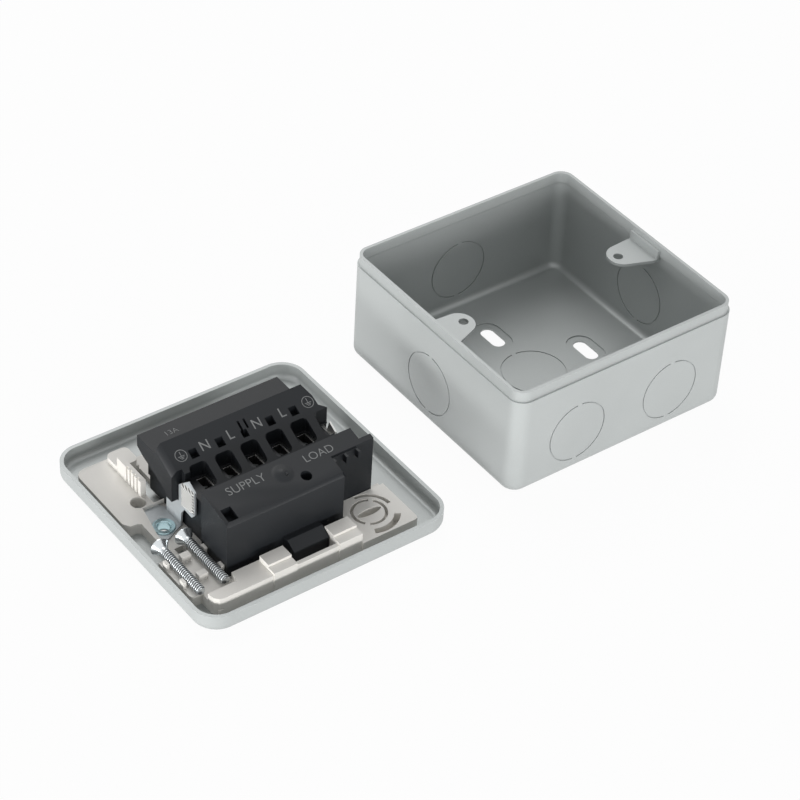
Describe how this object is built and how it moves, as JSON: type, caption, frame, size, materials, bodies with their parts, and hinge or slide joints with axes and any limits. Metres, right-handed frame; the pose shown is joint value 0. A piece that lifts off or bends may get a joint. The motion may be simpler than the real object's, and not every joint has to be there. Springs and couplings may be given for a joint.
{
  "type": "fused spur unit",
  "caption": "Metal clad fused spur unit: a grey steel back box with knockouts and, beside it, its face plate lying face down with a black terminal and fuse module.",
  "frame": {"origin": "middle of the back box's underside, where it meets the wall or the floor", "axes": "+Z out of the back box's open side, +X away from the face plate along the line of the fixing lugs, +Y across it"},
  "size_m": [0.191, 0.0856, 0.0385],
  "materials": {
    "grey_paint": "satin grey powder coat",
    "black_moulding": "fine satin black moulding",
    "cream_moulding": "satin cream moulding",
    "zinc_plate": "bright zinc plate",
    "brass_part": "bright brass",
    "fuse_ceramic": "glazed ceramic"
  },
  "bodies": {
    "unit": {"back_box": "grey_paint", "fixing_lug_left": "grey_paint", "fixing_lug_right": "grey_paint", "front_plate": "grey_paint", "backing_moulding": "cream_moulding", "module_base": "black_moulding", "module_cover": "black_moulding", "fuse_block": "black_moulding", "fuse_clip_left": "zinc_plate", "fuse_clip_right": "zinc_plate", "live_bar_in": "brass_part", "live_bar_out": "brass_part", "neutral_link": "brass_part", "earth_link": "brass_part", "earth_strap": "zinc_plate", "earth_eyelet": "zinc_plate", "fixing_screw_left": "zinc_plate", "fixing_screw_right": "zinc_plate", "terminal_earth_in": "brass_part", "terminal_neutral_in": "brass_part", "terminal_live_in": "brass_part", "terminal_neutral_out": "brass_part", "terminal_live_out": "brass_part", "terminal_earth_out": "brass_part"},
    "carrier": {"fuse_carrier": "black_moulding", "fuse_tube": "fuse_ceramic", "fuse_cap_left": "brass_part", "fuse_cap_right": "brass_part"},
    "clamp_earth_in": {"clamp_screw_earth_in": "zinc_plate"},
    "clamp_neutral_in": {"clamp_screw_neutral_in": "zinc_plate"},
    "clamp_live_in": {"clamp_screw_live_in": "zinc_plate"},
    "clamp_neutral_out": {"clamp_screw_neutral_out": "zinc_plate"},
    "clamp_live_out": {"clamp_screw_live_out": "zinc_plate"},
    "clamp_earth_out": {"clamp_screw_earth_out": "zinc_plate"}
  },
  "joints": [
    {"name": "carrier_pull", "type": "slide", "parent": "unit", "child": "carrier", "axis": [0, 0, -1], "range_m": [0, 0.014]},
    {"name": "clamp_turn_earth_in", "type": "hinge", "parent": "unit", "child": "clamp_earth_in", "pos_m": [-0.1255, -0.00475, 0.014], "axis": [0, 0, 1], "continuous": true},
    {"name": "clamp_turn_neutral_in", "type": "hinge", "parent": "unit", "child": "clamp_neutral_in", "pos_m": [-0.1168, -0.00475, 0.014], "axis": [0, 0, 1], "continuous": true},
    {"name": "clamp_turn_live_in", "type": "hinge", "parent": "unit", "child": "clamp_live_in", "pos_m": [-0.1081, -0.00475, 0.014], "axis": [0, 0, 1], "continuous": true},
    {"name": "clamp_turn_neutral_out", "type": "hinge", "parent": "unit", "child": "clamp_neutral_out", "pos_m": [-0.0994, -0.00475, 0.014], "axis": [0, 0, 1], "continuous": true},
    {"name": "clamp_turn_live_out", "type": "hinge", "parent": "unit", "child": "clamp_live_out", "pos_m": [-0.0907, -0.00475, 0.014], "axis": [0, 0, 1], "continuous": true},
    {"name": "clamp_turn_earth_out", "type": "hinge", "parent": "unit", "child": "clamp_earth_out", "pos_m": [-0.082, -0.00475, 0.014], "axis": [0, 0, 1], "continuous": true}
  ]
}
